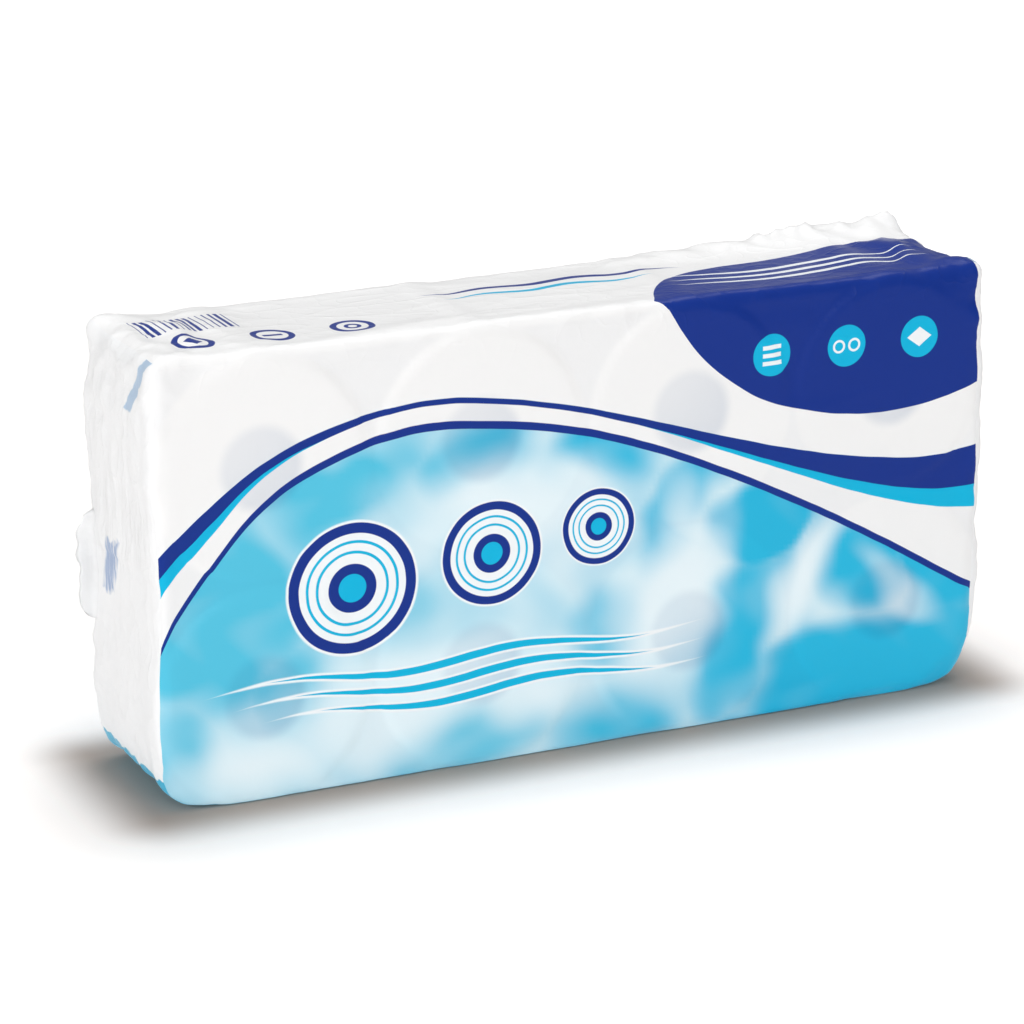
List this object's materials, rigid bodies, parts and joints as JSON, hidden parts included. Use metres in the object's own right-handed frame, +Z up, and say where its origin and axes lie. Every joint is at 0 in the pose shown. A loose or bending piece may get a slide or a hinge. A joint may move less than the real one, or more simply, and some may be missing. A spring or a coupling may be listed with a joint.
{
  "type": "toilet paper roll pack",
  "caption": "Sealed brick-shaped film bag of soft toilet paper rolls on card cores, in one layer of side-by-side columns, printed with blue arcs, with folded ends.",
  "frame": {"origin": "middle of the base, on the surface that the pack stands on", "axes": "+X along the pack's length, +Y from the printed front to the back and along the rolls' axes, +Z up"},
  "size_m": [0.4794, 0.0976, 0.236],
  "materials": {
    "film": "semi-gloss milky film",
    "tissue": "soft matte",
    "card": "matte"
  },
  "bodies": {
    "root": {"film_wrap": "film", "roll_1": "tissue", "roll_2": "tissue", "roll_3": "tissue", "roll_4": "tissue", "roll_5": "tissue", "roll_6": "tissue", "roll_7": "tissue", "roll_8": "tissue", "core_1": "card", "core_2": "card", "core_3": "card", "core_4": "card", "core_5": "card", "core_6": "card", "core_7": "card", "core_8": "card"}
  },
  "joints": []
}
